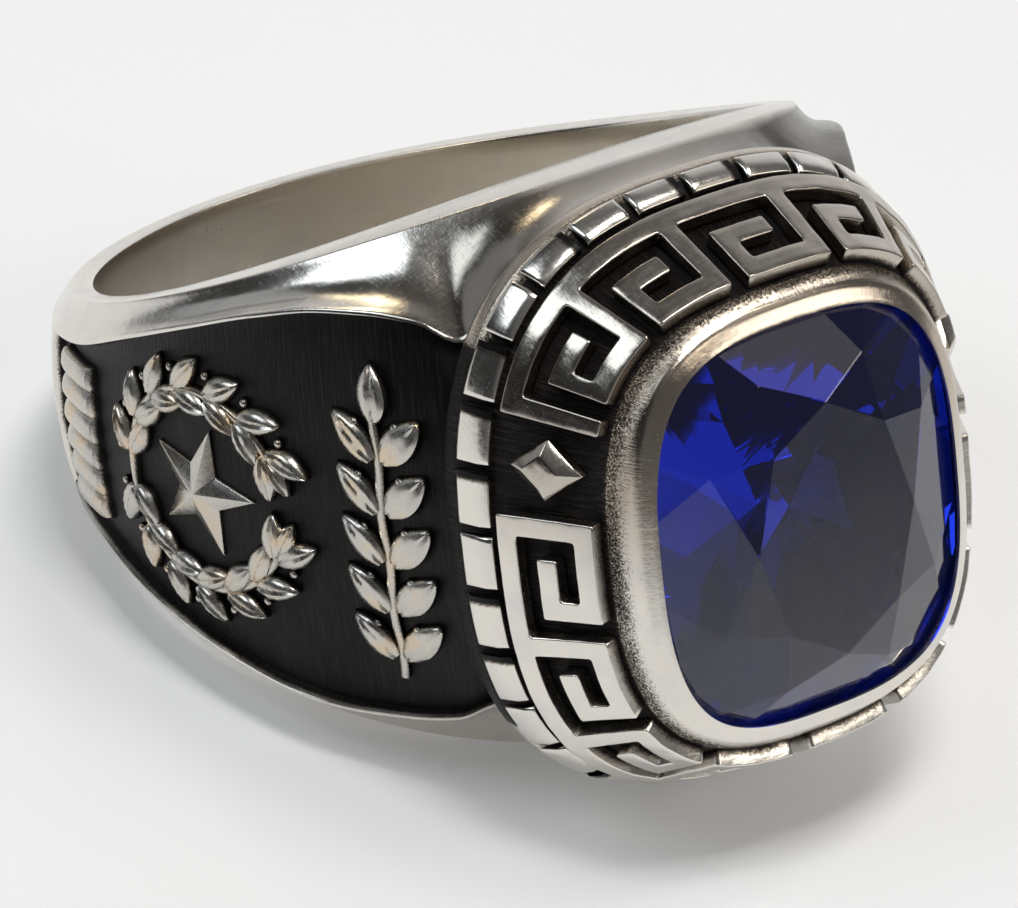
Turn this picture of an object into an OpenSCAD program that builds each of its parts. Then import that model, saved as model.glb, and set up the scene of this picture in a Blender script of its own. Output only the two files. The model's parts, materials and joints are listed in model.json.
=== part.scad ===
// Service anniversary ring: one cast ring body and a cushion-cut stone in its bezel.
// The ring is drawn with its finger hole along Z and its head towards -Y.
// It is then laid on its side, as it rests on a table, with the table at Z = 0.

/* [Finger hole] */
// Diameter of the finger hole, US ring size 10
finger_d = 19.8; // [19.6:0.1:20]

/* [Band] */
// Half width of the band beside the finger hole, under the head
rim_head = 8.55; // [8.5:0.01:8.6]
// Half width of the band at its sides
rim_side = 4.5; // [4.4:0.05:4.6]
// Half width of the band at its back
rim_back = 2.4; // [2.3:0.05:2.6]

/* [Head] */
// Width of the head across the finger
head_w = 16.1; // [15.9:0.05:16.3]
// Length of the head along the finger
head_l = 17.7; // [17.5:0.05:17.9]
// How square the cushion outline is, 2 being an ellipse
squareness = 2.6; // [2.5:0.05:2.7]

/* [Border] */
// Number of blocks in the border around the head
block_count = 30; // [28:2:32]
// Width of the slot between two blocks
slot_w = 0.25; // [0.16:0.01:0.32]
// How far the first block is moved along the outline
block_shift = 1.20; // [0:0.01:1.8]

/* [Channel ornament] */
// Number of key units in the strip over the lozenges and in the strip under them
key_units = [5, 8];
// Height of the ornament above the channel floor
ornament_h = 0.48; // [0.36:0.02:0.54]

/* [Side panels] */
// Depth of the sunk panel on each shoulder
panel_depth = 0.4; // [0.3:0.05:0.45]
// Height of the relief above the panel floor
relief_h = 0.44; // [0.3:0.02:0.5]

/* [Stone] */
// Length of the table along the finger
table_l = 7.44; // [7:0.04:7.8]
// Width of the table across the finger
table_w = 5.2; // [5:0.05:5.4]
// Height of the table above the girdle
crown_h = 1.63; // [1.5:0.01:1.7]
// Depth of the pavilion below the girdle
pavilion_h = 3; // [2.8:0.1:4.4]
// Clearance between the stone and its seat
stone_gap = 0.05; // [0.04:0.01:0.07]

/* [Hidden] */

bore_r = finger_d / 2;

// Band stations, counted from the middle of the head at 0 degrees to the back at 180.
// Columns: angle, edge height, edge reach, bulge, sunk (1 in the panel), strip width, flank hollow.
// Reach counts outwards from the finger hole, and the flank is the face from the strip to the edge.
BAND = [
    [0, 8.70, 3.55, 0.00, 0, 1.15, 0.28],
    [10, 8.52, 3.70, 0.00, 0, 1.15, 0.28],
    [20, 7.45, 4.20, 0.00, 0, 1.15, 0.30],
    [25, 6.20, 4.25, 0.80, 0, 1.15, 0.30],
    [28.4, 5.52, 4.15, 2.00, 1, 1.15, 0.30],
    [33.4, 6.04, 3.66, 1.55, 1, 1.15, 0.30],
    [39.2, 6.16, 3.11, 1.12, 1, 1.15, 0.30],
    [45.6, 6.13, 2.68, 0.73, 1, 1.15, 0.28],
    [54.9, 5.81, 2.33, 0.37, 1, 1.10, 0.25],
    [66.2, 5.14, 1.93, 0.28, 1, 1.00, 0.20],
    [80.6, 4.19, 1.59, 0.21, 1, 0.90, 0.12],
    [97.8, 3.08, 1.41, 0.20, 1, 0.80, 0.05],
    [112, 2.60, 1.35, 0.22, 1, 0.70, 0.00],
    [113, 2.57, 1.33, 0.25, 0, 0.70, 0.00],
    [180, 1.70, 1.05, 0.45, 0, 0.50, -0.08],
];
EDGE = 1;
REACH = 2;
BULGE = 3;
SUNK = 4;
STRIP = 5;
HOLLOW = 6;

panel_start = 28.4;
panel_end = 112;
panel_steps = 15;
back_steps = 7;
end_wall = 1;
land_w = 0.12;
wall_run = 0.1;
bore_overlap = 0.5;

// Rings of the head, from its buried foot over the bezel and down into the stone's seat.
// Columns: inset from the head's outline, height above the finger hole, fall towards the sides.
COLLAR_LOW = [0.00, 3.45, 0.007];
CHANNEL_FOOT = [0.55, 4.55, 0.002];
CHANNEL_TOP = [2.28, 8.25, 0.017];
LIP_EDGE = [3.09, 8.84, 0];
girdle_inset = 2.97;
girdle_h = 8.42;
girdle_t = 0.2;
seat_inset = girdle_inset - stone_gap;
HEAD = [
    [1.60, -0.60, 0],
    [0.90, 1.90, 0],
    [0.80, 3.22, 0.006],
    COLLAR_LOW,
    [0.00, 3.97, 0.007],
    [0.41, 4.41, 0.003],
    CHANNEL_FOOT,
    CHANNEL_TOP,
    [2.60, 8.63, 0.004],
    LIP_EDGE,
    [LIP_EDGE.x, girdle_h + 0.22, 0],
    [seat_inset, girdle_h + 0.07, 0],
    [seat_inset, girdle_h - girdle_t - stone_gap, 0],
    [3.60, 7.30, 0],
    [4.75, 3.60, 0],
];

// Cross section of one border block, in the same columns
BLOCK = [
    [0.49, 3.88, 0.005],
    [0.59, 4.42, 0.002],
    [0.54, 4.66, 0.002],
    [0.38, 4.76, 0.002],
    [0.18, 4.56, 0.004],
    [0.00, 4.14, 0.007],
    [0.10, 3.75, 0.007],
];

// One unit of the key ornament, from the border side up to the stone side
KEY_CHART = [
    "######",
    "#.....",
    "#.###.",
    "#...#.",
    "#####.",
];
key_low = 0.127;
key_high = 0.942;

outline_steps = 64;
outline_samples = 720;
lozenge_half_l = 1;
lozenge_half_w = 1.24;
lozenge_gap = 0.5;
lozenge_shift = 2.89;
lozenge_h = 0.62;
root = 0.19;
relief_root = 0.15;
grid = 0.001;

// Relief on each shoulder: its place is the angle of its middle, its sizes are in mm
wreath_angle = 68.5;
wreath_r = 3.02;
wreath_opening = 22;
wreath_pairs = 5;
star_r = 2.01;
star_inner = 0.42;
sprig_angle = 39.4;
sprig_half = 4.76;
sprig_pairs = 5;
reed_angle = 100.5;
reed_half_l = 2.4;
reed_half_w = 1.3;
reed_count = 6;
stem_w = 0.194;
leaf_l = 1.85;
leaf_w = 1.1;

// Sums
function mix(a, b, k) = a + (b - a) * k;
function mean(list) = list * [for (v = list) 1] / len(list);
function middle(ring) = [for (axis = [0 : 2]) mean([for (p = ring) p[axis]])];
function to_grid(p) = [for (v = p) round(v / grid) * grid];
function fold(angle) = angle > 180 ? 360 - angle : angle;
function turned(p, angle) = [p.x * cos(angle) - p.y * sin(angle), p.x * sin(angle) + p.y * cos(angle)];
function band_value(angle, column) = lookup(fold(angle), [for (row = BAND) [row[0], row[column]]]);

// Band: the half width beside the hole is a smooth curve of the angle
function rim(angle) = rim_side
    + (rim_head - rim_back) / 2 * cos(angle)
    + ((rim_head + rim_back) / 2 - rim_side) * pow(cos(angle), 2);
function around(r, angle, z) = [r * sin(angle), -r * cos(angle), z];

// Distance of the outer face from the hole's axis, without and with the sunk panel
function face_r(angle, z) = bore_r + band_value(angle, REACH)
    + band_value(angle, BULGE) * (1 - pow(z / band_value(angle, EDGE), 2));
function floor_r(angle, z) = face_r(angle, z) - panel_depth * band_value(angle, SUNK);

function flank(angle) = let (
    inner = [bore_r + band_value(angle, STRIP), rim(angle)],
    outer = [bore_r + band_value(angle, REACH), band_value(angle, EDGE)],
    run = outer - inner,
    down = [run.y, -run.x] / norm(run)
) [for (k = [0 : 1 / 3 : 1]) mix(inner, outer, k) + down * band_value(angle, HOLLOW) * sin(180 * k)];

function upper_section(angle) = let (
    land = band_value(angle, EDGE) - land_w,
    top = land - wall_run
) concat(
    [[bore_r - bore_overlap, rim(angle)]],
    flank(angle),
    [[face_r(angle, land), land]],
    [for (k = [1, 0.62, 0.2]) [floor_r(angle, top * k), top * k]]
);
function section(angle) = let (upper = upper_section(angle)) concat(
    upper,
    [for (i = [len(upper) - 1 : -1 : 0]) [upper[i].x, -upper[i].y]]
);

half_cuts = concat(
    [0, 7, 14, 20, 25],
    [for (k = [0 : panel_steps]) mix(panel_start, panel_end, k / panel_steps)],
    [for (k = [0 : back_steps]) mix(panel_end + end_wall, 180, k / back_steps)]
);
cuts = concat(half_cuts, [for (i = [len(half_cuts) - 2 : -1 : 1]) 360 - half_cuts[i]]);

// Head outline: a cushion whose inset copies stay parallel to it
function signed_pow(v, e) = sign(v) * pow(abs(v), e);
function outline_point(angle) = [
    head_w / 2 * signed_pow(cos(angle), 2 / squareness),
    head_l / 2 * signed_pow(sin(angle), 2 / squareness)
];
function outward(p) = let (
    g = [
        signed_pow(2 * p.x / head_w, squareness - 1) / head_w,
        signed_pow(2 * p.y / head_l, squareness - 1) / head_l
    ]
) g / norm(g);

// Distance travelled along the outline, paired with its angle
samples = [for (i = [0 : outline_samples]) outline_point(360 * i / outline_samples)];
travelled = [
    for (i = 0, s = 0; i <= outline_samples;
        s = s + (i < outline_samples ? norm(samples[i + 1] - samples[i]) : 0), i = i + 1)
    [s, 360 * i / outline_samples]
];
outline_length = travelled[outline_samples][0];

// A point of the outline, s mm along it and moved in by an inset
function inset_point(s, inset) = let (
    turn = (s % outline_length + outline_length) % outline_length,
    p = outline_point(lookup(turn, travelled))
) p - outward(p) * inset;

// A place on the head: across the finger, along it, and above the finger hole
function on_head(p, height) = [p.x, -(bore_r + height), p.y];
function head_point(s, row) = let (
    p = inset_point(s, row.x)
) on_head(p, row.y - row.z * p.x * p.x);

// A point over the channel floor, k from 0 at the border to 1 at the bezel, raised by h
channel_run = CHANNEL_TOP - CHANNEL_FOOT;
channel_len = norm([channel_run.x, channel_run.y]);
raise_way = [-channel_run.y, channel_run.x, 0] / channel_len;
function channel_point(s, k, h) = head_point(s, mix(CHANNEL_FOOT, CHANNEL_TOP, k) + raise_way * h);

// Joins rings of points into one closed solid, or into a loop with no ends.
// The rings run anticlockwise about the way they are stacked. The far end may rise to a peak.
module skin(rings, looped = false, peak = undef) {
    n = len(rings[0]);
    m = len(rings);
    last = (m - 1) * n;
    ends = looped ? [] : [middle(rings[0]), is_undef(peak) ? middle(rings[m - 1]) : peak];
    walls = [
        for (j = [0 : looped ? m - 1 : m - 2])
        for (i = [0 : n - 1])
        let (a = j * n, b = ((j + 1) % m) * n, k = (i + 1) % n)
        each [[a + i, b + i, b + k], [a + i, b + k, a + k]]
    ];
    caps = looped ? [] : [
        for (i = [0 : n - 1])
        let (k = (i + 1) % n)
        each [[m * n, i, k], [m * n + 1, last + k, last + i]]
    ];
    polyhedron(
        points = [for (p = concat([for (ring = rings) each ring], ends)) to_grid(p)],
        faces = concat(walls, caps),
        convexity = 8
    );
}

module band() {
    skin([for (angle = cuts) [for (p = section(angle)) around(p.x, angle, p.y)]], looped = true);
}

module head() {
    skin([
        for (row = HEAD)
        [for (i = [0 : outline_steps - 1]) head_point(outline_length * i / outline_steps, row)]
    ]);
}

module border_block(i) {
    pitch = outline_length / block_count;
    skin([
        for (k = [slot_w / 2, pitch * 0.46, pitch - slot_w / 2])
        [for (row = BLOCK) head_point(block_shift + i * pitch + k, row)]
    ]);
}

// A strip of the key ornament: each marked square of the chart is raised
module key_strip(start, length, units) {
    rows = len(KEY_CHART);
    unit = len(KEY_CHART[0]);
    columns = units * unit + 1;
    sheet = (columns + 1) * (rows + 1);
    function marked(c, r) = c >= 0 && c < columns && r >= 0 && r < rows && KEY_CHART[r][c % unit] == "#";
    function low(c, r) = c * (rows + 1) + r;
    function high(c, r) = sheet + low(c, r);
    function wall(c, r, e, f) = [[low(c, r), high(c, r), high(e, f)], [low(c, r), high(e, f), low(e, f)]];
    points = [
        for (h = [-root, ornament_h])
        for (c = [0 : columns])
        for (r = [0 : rows])
        to_grid(channel_point(start + length * c / columns, mix(key_low, key_high, r / rows), h))
    ];
    faces = [
        for (c = [0 : columns - 1])
        for (r = [0 : rows - 1])
        if (marked(c, r))
        each concat(
            [
                [high(c, r), high(c, r + 1), high(c + 1, r + 1)],
                [high(c, r), high(c + 1, r + 1), high(c + 1, r)],
                [low(c, r), low(c + 1, r), low(c + 1, r + 1)],
                [low(c, r), low(c + 1, r + 1), low(c, r + 1)],
            ],
            marked(c, r - 1) ? [] : wall(c, r, c + 1, r),
            marked(c + 1, r) ? [] : wall(c + 1, r, c + 1, r + 1),
            marked(c, r + 1) ? [] : wall(c + 1, r + 1, c, r + 1),
            marked(c - 1, r) ? [] : wall(c, r + 1, c, r)
        )
    ];
    polyhedron(points = points, faces = faces, convexity = 20);
}

module lozenge(s) {
    corners = [[-lozenge_half_l, 0], [0, -lozenge_half_w], [lozenge_half_l, 0], [0, lozenge_half_w]];
    centre = (key_low + key_high) / 2;
    function ring(size, h) = [
        for (c = corners) channel_point(s + c.x * size, centre + c.y * size / channel_len, h)
    ];
    skin([ring(1, -root), ring(1, lozenge_h / 2), ring(0.62, lozenge_h)]);
}

// The lozenges stand above the middle of the head's sides, and the key strips run between them
module channel_ornament() {
    half = outline_length / 2;
    ends = lozenge_half_l + lozenge_gap;
    key_strip(lozenge_shift + ends, half - 2 * (lozenge_shift + ends), key_units[0]);
    key_strip(half - lozenge_shift + ends, half + 2 * (lozenge_shift - ends), key_units[1]);
    for (s = [lozenge_shift, half - lozenge_shift]) lozenge(s);
}

// A place over the panel: u along the finger, v towards the head, h above the panel's floor
function on_panel(centre, p, h) = let (
    angle = centre - p.y / floor_r(centre, 0) * 180 / PI
) around(floor_r(angle, p.x) + h, angle, p.x);

// A raised shape that slopes from its outline up to a peak
module raised(centre, outline, peak, rise) {
    skin([[for (p = outline) on_panel(centre, p, -relief_root)]], peak = on_panel(centre, peak, rise));
}

module leaf(centre, foot, heading, length, width) {
    shape = [[0.06, 0], [0.44, -0.5], [1, 0], [0.44, 0.5]];
    raised(
        centre,
        [for (p = shape) foot + turned([p.x * length, p.y * width], heading)],
        foot + turned([0.44 * length, 0], heading),
        relief_h
    );
}

module star(centre) {
    outline = [
        for (i = [0 : 9])
        turned([star_r * (i % 2 == 0 ? 1 : star_inner), 0], 90 + 36 * i)
    ];
    raised(centre, outline, [0, 0], relief_h * 1.1);
}

// A thin ridged stem along a path of points on the panel
module stem(centre, path) {
    last = len(path) - 1;
    skin([
        for (i = [0 : last])
        let (
            way = path[min(i + 1, last)] - path[max(i - 1, 0)],
            left = [-way.y, way.x] / norm(way) * stem_w
        )
        [
            on_panel(centre, path[i] + left, -relief_root),
            on_panel(centre, path[i], relief_h * 0.5),
            on_panel(centre, path[i] - left, -relief_root),
        ]
    ]);
}

module wreath(centre) {
    sweep = 180 - wreath_opening;
    splay = 26;
    for (side = [-1, 1]) {
        stem(centre, [for (i = [0 : 6]) turned([0, -wreath_r], side * sweep * i / 6)]);
        for (i = [0 : wreath_pairs - 1])
            for (lean = [-splay, splay]) {
                turn = side * (10 + (sweep - 24) * i / (wreath_pairs - 1));
                heading = side > 0 ? turn : turn + 180;
                leaf(centre, turned([0, -wreath_r], turn), heading + lean, leaf_l, leaf_w);
            }
    }
    star(centre);
}

module sprig(centre) {
    step = (2 * sprig_half - 1.9) / sprig_pairs;
    stem(centre, [for (i = [0 : 4]) [-sprig_half + i * (2 * sprig_half - 1) / 4, 0]]);
    for (i = [0 : sprig_pairs - 1])
        for (lean = [-1, 1])
            leaf(centre, [-sprig_half + 0.5 + i * step, 0], lean * 42, leaf_l * 1.1, leaf_w);
    leaf(centre, [sprig_half - leaf_l, 0], 0, leaf_l, leaf_w);
}

module reeded_bar(centre) {
    skin([
        for (i = [0 : 2 * reed_count])
        let (u = -reed_half_l + reed_half_l * i / reed_count, h = relief_h * (i % 2 == 0 ? 0.55 : 1))
        [
            on_panel(centre, [u, reed_half_w], -root),
            on_panel(centre, [u, reed_half_w * 0.85], h * 0.8),
            on_panel(centre, [u, 0], h),
            on_panel(centre, [u, -reed_half_w * 0.85], h * 0.8),
            on_panel(centre, [u, -reed_half_w], -root),
        ]
    ]);
}

module shoulder_relief() {
    wreath(wreath_angle);
    sprig(sprig_angle);
    reeded_bar(reed_angle);
}

module casting() {
    band();
    head();
    for (i = [0 : block_count - 1]) border_block(i);
    channel_ornament();
    for (side = [0, 1]) mirror([side, 0, 0]) shoulder_relief();
}

// At rest the ring stands on the lower rim of its finger hole, under the head and at the back
back_reach = bore_r + band_value(180, STRIP);
rest_tilt = atan((rim_head - rim_back) / (bore_r + back_reach));
table_z = bore_r * sin(rest_tilt) - rim_head * cos(rest_tilt);
front_y = -(bore_r + girdle_h + crown_h) * cos(rest_tilt) - table_l / 2 * sin(rest_tilt);
back_y = max([for (p = upper_section(180)) p.x * cos(rest_tilt) + p.y * sin(rest_tilt)]);

module laid_down() {
    translate([0, -(front_y + back_y) / 2, -table_z]) rotate([-rest_tilt, 0, 0]) children();
}

module ring_body() {
    color("silver") laid_down() difference() {
        resize([0, 0, head_l]) casting();
        cylinder(r = bore_r, h = head_l + 2, center = true, $fn = 96);
    }
}

// Stone: a brilliant cut on the cushion outline, with eight corners to its table.
// Where two faces next to each other cross a level, h is that level.
star_drop = 0.6;
pavilion_break = 0.45;
function crossing(p, n, q, m, h) = let (
    e = n * (p - [0, 0, h]),
    f = m * (q - [0, 0, h])
) [e * m.y - f * n.y, n.x * f - m.x * e] / (n.x * m.y - n.y * m.x);

module stone() {
    table_h = girdle_h + crown_h;
    culet_h = girdle_h - girdle_t - pavilion_h;
    star_h = table_h - star_drop;
    break_h = culet_h + pavilion_h * pavilion_break;

    girdle = [for (i = [0 : 15]) inset_point(outline_length * i / 16, girdle_inset)];
    corners = [for (i = [0 : 7]) [table_w / 2 * cos(45 * i), table_l / 2 * sin(45 * i)]];
    tangents = [
        for (i = [0 : 7])
        let (way = girdle[(2 * i + 1) % 16] - girdle[(2 * i + 15) % 16])
        [way.x, way.y, 0]
    ];
    feet = [for (i = [0 : 7]) [girdle[2 * i].x, girdle[2 * i].y, girdle_h]];
    crown_n = [for (i = [0 : 7]) cross(tangents[i], [corners[i].x, corners[i].y, table_h] - feet[i])];
    heels = [for (p = feet) [p.x, p.y, girdle_h - girdle_t]];
    pavilion_n = [for (i = [0 : 7]) cross(tangents[i], [0, 0, culet_h] - heels[i])];
    stars = [
        for (i = [0 : 7])
        let (k = (i + 1) % 8)
        crossing(feet[i], crown_n[i], feet[k], crown_n[k], star_h)
    ];
    breaks = [
        for (i = [0 : 7])
        let (k = (i + 1) % 8)
        crossing(heels[i], pavilion_n[i], heels[k], pavilion_n[k], break_h)
    ];

    v = 0;
    s = 8;
    t = 16;
    b = 32;
    l = 48;
    culet = 56;
    crown = [
        for (i = [0 : 7])
        let (k = (i + 1) % 8, j = (i + 7) % 8, g = 2 * i, m = 2 * i + 1, n = (2 * i + 2) % 16)
        each [
            [v + i, v + k, s + i],
            [s + i, t + g, s + j, v + i],
            [t + m, t + g, s + i],
            [t + n, t + m, s + i],
        ]
    ];
    pavilion = [
        for (i = [0 : 7])
        let (j = (i + 7) % 8, g = 2 * i, m = 2 * i + 1, n = (2 * i + 2) % 16)
        each [
            [l + j, b + g, l + i, culet],
            [b + g, b + m, l + i],
            [b + m, b + n, l + i],
        ]
    ];
    edge = [for (i = [0 : 15]) let (k = (i + 1) % 16) [t + i, t + k, b + k, b + i]];

    color("royalblue") laid_down() polyhedron(
        points = concat(
            [for (p = corners) on_head(p, table_h)],
            [for (p = stars) on_head(p, star_h)],
            [for (p = girdle) on_head(p, girdle_h)],
            [for (p = girdle) on_head(p, girdle_h - girdle_t)],
            [for (p = breaks) on_head(p, break_h)],
            [on_head([0, 0], culet_h)]
        ),
        faces = concat([[for (i = [7 : -1 : 0]) v + i]], crown, edge, pavilion)
    );
}

ring_body();
stone();
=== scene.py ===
"""Service anniversary ring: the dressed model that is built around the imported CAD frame."""
import json
import math
from bisect import bisect_right
from functools import lru_cache

import bmesh
import bpy
from mathutils import Matrix, Vector, noise


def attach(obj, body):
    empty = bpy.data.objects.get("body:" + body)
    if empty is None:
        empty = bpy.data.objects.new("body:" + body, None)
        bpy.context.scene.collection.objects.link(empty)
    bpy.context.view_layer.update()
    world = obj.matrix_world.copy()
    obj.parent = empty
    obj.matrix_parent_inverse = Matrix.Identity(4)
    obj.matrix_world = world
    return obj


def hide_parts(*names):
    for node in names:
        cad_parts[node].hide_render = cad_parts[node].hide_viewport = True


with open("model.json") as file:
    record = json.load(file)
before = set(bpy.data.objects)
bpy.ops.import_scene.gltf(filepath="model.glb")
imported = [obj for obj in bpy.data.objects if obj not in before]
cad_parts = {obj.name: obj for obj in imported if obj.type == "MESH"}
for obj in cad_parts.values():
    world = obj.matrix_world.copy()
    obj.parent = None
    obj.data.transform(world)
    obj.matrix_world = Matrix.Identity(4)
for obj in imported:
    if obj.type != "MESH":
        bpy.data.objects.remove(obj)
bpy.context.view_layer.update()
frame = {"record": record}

bl_info = {
    "name": "Anniversary ring",
    "version": (1, 0, 0),
    "blender": (4, 5, 0),
    "location": "3D View > Sidebar > Ring",
    "description": "Builds a cast silver ring with a cushion-cut stone, lying on its side on a table",
    "category": "Object",
}

MM = 0.001
HOLE = next(m for m in frame["record"]["mounts"] if m["name"] == "finger_bore")

# Band stations, as in the part's source, in mm and degrees from the middle of the head.
# Columns: angle, edge height, edge reach, bulge, sunk, strip width, flank hollow.
BAND = (
    (0, 8.70, 3.55, 0.00, 0, 1.15, 0.28),
    (10, 8.52, 3.70, 0.00, 0, 1.15, 0.28),
    (20, 7.45, 4.20, 0.00, 0, 1.15, 0.30),
    (25, 6.20, 4.25, 0.80, 0, 1.15, 0.30),
    (28.4, 5.52, 4.15, 2.00, 1, 1.15, 0.30),
    (33.4, 6.04, 3.66, 1.55, 1, 1.15, 0.30),
    (39.2, 6.16, 3.11, 1.12, 1, 1.15, 0.30),
    (45.6, 6.13, 2.68, 0.73, 1, 1.15, 0.28),
    (54.9, 5.81, 2.33, 0.37, 1, 1.10, 0.25),
    (66.2, 5.14, 1.93, 0.28, 1, 1.00, 0.20),
    (80.6, 4.19, 1.59, 0.21, 1, 0.90, 0.12),
    (97.8, 3.08, 1.41, 0.20, 1, 0.80, 0.05),
    (112, 2.60, 1.35, 0.22, 1, 0.70, 0.00),
    (113, 2.57, 1.33, 0.25, 0, 0.70, 0.00),
    (180, 1.70, 1.05, 0.45, 0, 0.50, -0.08),
)
# The land beside a panel, and the run of the panel's wall
LAND_W = 0.12
WALL_RUN = 0.1
# Corner radii of the band's section, and the cells of its hole wall, flank and panel
HOLE_EDGE_R = 0.1
STRIP_EDGE_R = 0.04
FLANK_EDGE_R = 0.05
PANEL_EDGE_R = 0.03
WALL_CELLS = 5
FLANK_CELLS = 10
PANEL_CELLS = 12

# Tarnish runs from 0 to 1. Below 0, a place is rubbed bare.
BARE = -0.3
LAND_TARNISH = 0.1
DEEP_TARNISH = 0.95

# Rings of the head: inset from its outline, height above the finger hole, fall towards the sides,
# tarnish, corner radius, and how many cells lead up to the next ring.
COLLAR_FALL = 0.007
CHANNEL_FOOT = (0.55, 4.55, 0.002)
CHANNEL_TOP = (2.28, 8.25, 0.017)
HEAD = (
    (1.60, 0.30, 0.000, 0.0, 0.00, 1),
    (0.90, 1.90, 0.000, 0.0, 0.00, 1),
    (0.80, 3.22, 0.006, 0.7, 0.05, 1),
    (0.00, 3.45, COLLAR_FALL, BARE, 0.09, 1),
    (0.00, 3.97, COLLAR_FALL, 0.2, 0.06, 1),
    (0.41, 4.41, 0.003, 1.0, 0.00, 1),
    (*CHANNEL_FOOT, 1.0, 0.00, 12),
    (2.09, 7.843, 0.0154, 1.0, 0.00, 4),
    (*CHANNEL_TOP, 0.42, 0.10, 2),
    (2.60, 8.63, 0.004, 0.05, 0.10, 3),
    (3.09, 8.84, 0.000, 0.0, 0.03, 1),
    (3.09, 8.64, 0.000, 0.2, 0.00, 1),
    (2.92, 8.49, 0.000, 0.5, 0.00, 1),
    (2.92, 8.17, 0.000, 0.3, 0.00, 1),
    (3.60, 7.30, 0.000, 0.12, 0.00, 2),
    (4.75, 3.60, 0.000, 0.12, 0.00, 1),
)
# The collar is dark this far from the ring's middle, where a panel meets it, and fades beyond
COLLAR_DARK_Z = 5.75
COLLAR_FADE = 0.25

# Section of a border block: inset and height
BLOCK = ((0.49, 3.88), (0.59, 4.42), (0.54, 4.66), (0.38, 4.76), (0.18, 4.56), (0.00, 4.14), (0.10, 3.75))
BLOCK_SHIFT = 1.20
BLOCK_STEPS = 4
# The outer ends of a block, by inset and height, flare by one bevel; its upper edges have another
BLOCK_OUTER = 0.3
BLOCK_FLARE_H = 4.2
BLOCK_FLARE = 0.14
BLOCK_UPPER_H = 4.0
BLOCK_EDGE = 0.05
BLOCK_FOOT_H = 4.5

# One unit of the key ornament, from the border side up to the stone side
KEY_CHART = ("######", "#.....", "#.###.", "#...#.", "#####.")
KEY_LOW = 0.127
KEY_HIGH = 0.942
KEY_CORNER = 0.08
KEY_EDGE = 0.05
LOZENGE_HALF_L = 1.0
LOZENGE_HALF_W = 1.24
LOZENGE_GAP = 0.5
LOZENGE_SHIFT = 2.89
LOZENGE_EDGE = 0.04
# Height and size of a lozenge's girdle and of its small top
LOZENGE_RISE = ((0.31, 1), (0.62, 0.5))
# How deep the ornament and the relief are rooted in the metal
ROOT = 0.19
RELIEF_ROOT = 0.15
FOOT_TARNISH = 0.9

# Places of the relief, in degrees from the middle of the head, and sizes of its parts
WREATH_ANGLE = 68.5
SPRIG_ANGLE = 39.4
REED_ANGLE = 100.5
WREATH_LEAF = (1.62, 0.86)
WREATH_TIP = (1.3, 0.7)
SPRIG_LEAF = (2.0, 1.05)
SPRIG_TIP = (1.85, 1.05)
BERRY_OUT = 0.62
STEM_W = 0.2
STEM_RISE = 0.6

# The stone's cut, as in the part's source
TABLE_W = 5.2
TABLE_L = 7.44
GIRDLE_INSET = 2.97
GIRDLE_H = 8.42
GIRDLE_T = 0.2
CROWN_H = 1.63
PAVILION_H = 3.0
STAR_DROP = 0.6
PAVILION_BREAK = 0.45
FACET_EDGE = 0.022

WHITE = (1.0, 1.0, 1.0)
WARM_WHITE = (1.0, 0.985, 0.96)
COOL_WHITE = (0.93, 0.93, 0.95)
RUST = (0.036, 0.028, 0.025)

# The camera, from the fit to the photograph: its bearing from the side of the head, its height and tilt in
# degrees, the place that it looks at and its distance from there in mm, and its lens on a sensor 36 mm wide
CAMERA_BEARING = -36.182
CAMERA_HEIGHT = 36.140
CAMERA_TILT = 4.332
CAMERA_TARGET = (-0.501, 0.090, 4.352)
CAMERA_DISTANCE = 197.157
CAMERA_LENS = 239.76

# The lights, all at one distance from the ring's middle, in metres.
# Columns: name, bearing from the camera to the right, height, width, length, glow, colour.
LIT_PLACE = (0, 0, 0.008)
LIGHT_DISTANCE = 0.6
LIGHTS = (
    ("window_left", -78, 47, 0.34, 0.24, 2.7, (0.86, 0.94, 1.0)),
    ("screen_left", -125, 20, 0.44, 0.30, 0.35, (0.92, 0.96, 1.0)),
    ("lamp_back", -153, 37, 0.09, 0.08, 6.0, (1.0, 0.84, 0.56)),
    ("lamp_above", 115, 73, 0.16, 0.16, 8.0, (1.0, 0.97, 0.92)),
    ("lamp_front", 30, 80, 0.16, 0.16, 17.0, (1.0, 0.985, 0.965)),
    ("lamp_right", 74, 30, 0.34, 0.18, 3.0, (1.0, 0.94, 0.85)),
    ("glint_right", 49, 47, 0.13, 0.10, 4.0, (1.0, 0.90, 0.75)),
    ("curtain_right", 92, 54, 0.20, 0.12, 0.6, (1.0, 0.90, 0.80)),
)
# The room's brightness from the horizon up to straight above
ROOM = ((0.0, 0.16), (0.30, 0.12), (0.60, 0.10), (0.85, 0.12), (1.0, 0.14))
# Half the table top's size, and how far it reaches in front of the ring
TABLE_HALF = 1.5
TABLE_FRONT = 0.12


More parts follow.
